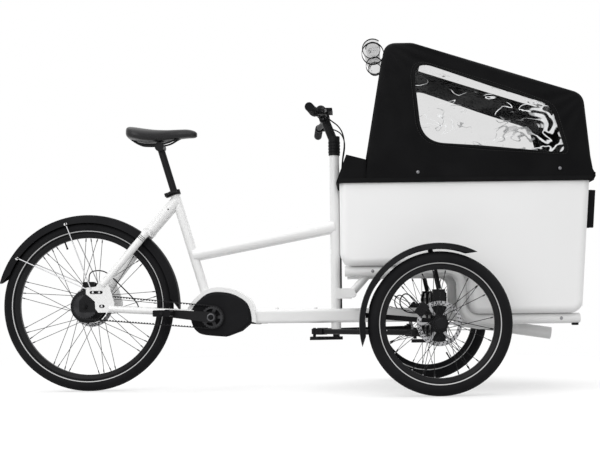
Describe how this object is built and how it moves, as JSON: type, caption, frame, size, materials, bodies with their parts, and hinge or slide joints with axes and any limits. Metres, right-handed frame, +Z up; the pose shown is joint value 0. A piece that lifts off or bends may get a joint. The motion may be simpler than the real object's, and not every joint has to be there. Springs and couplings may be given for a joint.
{
  "type": "cargo tricycle",
  "caption": "Electrically assisted leaning cargo tricycle: stepped cargo box with fabric hood between two steered front wheels, belt-driven rear wheel behind.",
  "frame": {"origin": "centre of the bounding box on the ground", "axes": "+X forward, +Y to the rider's left, +Z up"},
  "size_m": [2.2524, 0.8786, 1.278],
  "materials": {
    "white_paint": "gloss white paint",
    "black_metal": "satin black",
    "steel": "bare steel",
    "alloy": "bare aluminium",
    "tyre": "black tyre",
    "rubber": "matte black rubber",
    "black_plastic": "matte black",
    "box_white": "gloss white moulding",
    "hood_fabric": "black coated fabric",
    "clear": "clear film",
    "cushion": "dark woven cover",
    "belt": "toothed belt",
    "saddle": "black cover"
  },
  "bodies": {
    "frame": {"main_frame": "white_paint", "rear_stays": "white_paint", "axle_carriers": "black_metal", "cargo_chassis": "white_paint", "lean_bracket": "black_metal", "drive_motor": "black_plastic", "cargo_box": "box_white", "door_hinges": "black_metal", "bench_cushions": "cushion", "hood_cover": "hood_fabric", "hood_windows": "clear", "hood_bows": "black_metal", "rolled_curtain": "clear", "rear_fender": "black_plastic", "rear_caliper": "black_metal", "drive_belt": "belt", "seat_clamp": "black_metal", "control_cables": "rubber"},
    "seat": {"seat_post": "black_metal", "saddle": "saddle"},
    "quick_release": {"qr_lever": "black_metal"},
    "steering": {"steerer": "black_metal", "stem": "black_metal", "handlebar": "black_metal", "grips": "rubber", "bar_controls": "black_plastic"},
    "shifter": {"twist_shifter": "rubber"},
    "right_lever": {"right_brake_lever": "black_metal"},
    "left_lever": {"left_brake_lever": "black_metal"},
    "right_joint": {"right_rod_joint": "black_metal"},
    "left_joint": {"left_rod_joint": "black_metal"},
    "right_rod": {"right_tie_rod": "black_metal"},
    "left_rod": {"left_tie_rod": "black_metal"},
    "lower_arm": {"lower_lean_arm": "black_metal"},
    "upper_arm": {"upper_lean_arm": "black_metal"},
    "right_upright": {"right_upright": "black_metal"},
    "left_upright": {"left_upright": "black_metal"},
    "right_knuckle": {"right_knuckle": "black_metal", "right_fender": "black_plastic"},
    "left_knuckle": {"left_knuckle": "black_metal", "left_fender": "black_plastic"},
    "right_wheel": {"right_front_tyre": "tyre", "right_front_rim": "black_metal", "right_front_spokes": "steel", "right_front_hub": "black_metal"},
    "left_wheel": {"left_front_tyre": "tyre", "left_front_rim": "black_metal", "left_front_spokes": "steel", "left_front_hub": "black_metal"},
    "rear_wheel": {"rear_tyre": "tyre", "rear_rim": "black_metal", "rear_spokes": "steel", "rear_hub": "black_metal"},
    "crank": {"crankset": "black_metal"},
    "right_pedal": {"right_pedal": "black_plastic"},
    "left_pedal": {"left_pedal": "black_plastic"},
    "drive_sprocket": {"drive_sprocket": "black_metal"},
    "rear_sprocket": {"rear_sprocket": "black_metal"},
    "door": {"front_door": "box_white"},
    "latch": {"door_latch": "black_plastic"}
  },
  "joints": [
    {"name": "lean", "type": "hinge", "parent": "frame", "child": "lower_arm", "pos_m": [0.54769, 0, 0.224], "axis": [1, 0, 0], "range_deg": [-15, 15]},
    {"name": "upper_lean", "type": "hinge", "parent": "frame", "child": "upper_arm", "pos_m": [0.54769, 0, 0.338], "axis": [1, 0, 0], "range_deg": [-15, 15]},
    {"name": "steer", "type": "hinge", "parent": "frame", "child": "steering", "pos_m": [0.17269, 0, 0.9], "axis": [0, 0, 1], "range_deg": [-20, 20], "deforming": ["control_cables"]},
    {"name": "right_upright_pivot", "type": "hinge", "parent": "lower_arm", "child": "right_upright", "pos_m": [0.54769, -0.29, 0.224], "axis": [1, 0, 0], "range_deg": [-15, 15]},
    {"name": "right_kingpin", "type": "hinge", "parent": "right_upright", "child": "right_knuckle", "pos_m": [0.54769, -0.33, 0.28], "axis": [0, 0, 1], "range_deg": [-20, 20]},
    {"name": "right_wheel_spin", "type": "hinge", "parent": "right_knuckle", "child": "right_wheel", "pos_m": [0.54769, -0.405, 0.253], "axis": [0, 1, 0], "continuous": true},
    {"name": "right_rod_turn", "type": "hinge", "parent": "steering", "child": "right_joint", "pos_m": [0.08769, -0.02, 0.221], "axis": [0, 0, 1], "range_deg": [-20, 20]},
    {"name": "right_rod_pitch", "type": "hinge", "parent": "right_joint", "child": "right_rod", "pos_m": [0.11081, -0.03911, 0.221], "axis": [-0.6371, -0.7707, 0], "range_deg": [-15, 15]},
    {"name": "right_brake", "type": "hinge", "parent": "steering", "child": "right_lever", "pos_m": [0.14092, -0.18808, 1.03605], "axis": [0, 0, -1], "range_deg": [0, 12], "stiffness_Nm_per_rad": 3},
    {"name": "shift_twist", "type": "hinge", "parent": "steering", "child": "shifter", "pos_m": [0.10444, -0.21895, 1.03471], "axis": [0.0799, 0.9959, 0.043], "range_deg": [-45, 45]},
    {"name": "left_upright_pivot", "type": "hinge", "parent": "lower_arm", "child": "left_upright", "pos_m": [0.54769, 0.29, 0.224], "axis": [1, 0, 0], "range_deg": [-15, 15]},
    {"name": "left_kingpin", "type": "hinge", "parent": "left_upright", "child": "left_knuckle", "pos_m": [0.54769, 0.33, 0.28], "axis": [0, 0, 1], "range_deg": [-20, 20]},
    {"name": "left_wheel_spin", "type": "hinge", "parent": "left_knuckle", "child": "left_wheel", "pos_m": [0.54769, 0.405, 0.253], "axis": [0, 1, 0], "continuous": true},
    {"name": "left_rod_turn", "type": "hinge", "parent": "steering", "child": "left_joint", "pos_m": [0.08769, 0.02, 0.221], "axis": [0, 0, 1], "range_deg": [-20, 20]},
    {"name": "left_rod_pitch", "type": "hinge", "parent": "left_joint", "child": "left_rod", "pos_m": [0.11081, 0.03911, 0.221], "axis": [0.6371, -0.7707, 0], "range_deg": [-15, 15]},
    {"name": "left_brake", "type": "hinge", "parent": "steering", "child": "left_lever", "pos_m": [0.14092, 0.18808, 1.03605], "axis": [0, 0, 1], "range_deg": [0, 12], "stiffness_Nm_per_rad": 3},
    {"name": "rear_wheel_spin", "type": "hinge", "parent": "frame", "child": "rear_wheel", "pos_m": [-0.78431, 0, 0.328], "axis": [0, 1, 0], "continuous": true},
    {"name": "crank_spin", "type": "hinge", "parent": "frame", "child": "crank", "pos_m": [-0.30031, 0, 0.281], "axis": [0, 1, 0], "continuous": true, "deforming": ["drive_belt"]},
    {"name": "drive_sprocket_spin", "type": "hinge", "parent": "frame", "child": "drive_sprocket", "pos_m": [-0.30031, -0.053, 0.281], "axis": [0, 1, 0], "continuous": true},
    {"name": "rear_sprocket_spin", "type": "hinge", "parent": "frame", "child": "rear_sprocket", "pos_m": [-0.78431, -0.053, 0.328], "axis": [0, 1, 0], "continuous": true},
    {"name": "right_pedal_spin", "type": "hinge", "parent": "crank", "child": "right_pedal", "pos_m": [-0.46938, -0.137, 0.29877], "axis": [0, 1, 0], "continuous": true},
    {"name": "left_pedal_spin", "type": "hinge", "parent": "crank", "child": "left_pedal", "pos_m": [-0.13124, 0.137, 0.26323], "axis": [0, 1, 0], "continuous": true},
    {"name": "seat_height", "type": "slide", "parent": "frame", "child": "seat", "axis": [-0.284, 0, 0.9588], "range_m": [-0.1, 0.08]},
    {"name": "quick_release_turn", "type": "hinge", "parent": "frame", "child": "quick_release", "pos_m": [-0.47692, -0.0166, 0.75456], "axis": [0.284, 0, -0.9588], "range_deg": [0, 140]},
    {"name": "door_swing", "type": "hinge", "parent": "frame", "child": "door", "pos_m": [1.10354, 0.229, 0.52871], "axis": [0.0645, 0, 0.9979], "range_deg": [0, 105]},
    {"name": "latch_turn", "type": "hinge", "parent": "door", "child": "latch", "pos_m": [1.10047, -0.186, 0.6672], "axis": [0.9979, 0, -0.0645], "range_deg": [0, 90]}
  ],
  "couplings": [
    {"joint": "upper_lean", "follows": "lean", "ratio": 1},
    {"joint": "right_upright_pivot", "follows": "lean", "ratio": -1},
    {"joint": "right_kingpin", "follows": "steer", "ratio": 1},
    {"joint": "right_rod_turn", "follows": "steer", "ratio": -1},
    {"joint": "right_rod_pitch", "follows": "lean", "ratio": -0.63084},
    {"joint": "left_upright_pivot", "follows": "lean", "ratio": -1},
    {"joint": "left_kingpin", "follows": "steer", "ratio": 1},
    {"joint": "left_rod_turn", "follows": "steer", "ratio": -1},
    {"joint": "left_rod_pitch", "follows": "lean", "ratio": 0.63084},
    {"joint": "drive_sprocket_spin", "follows": "crank_spin", "ratio": 2.5},
    {"joint": "rear_sprocket_spin", "follows": "crank_spin", "ratio": 2.2321}
  ]
}
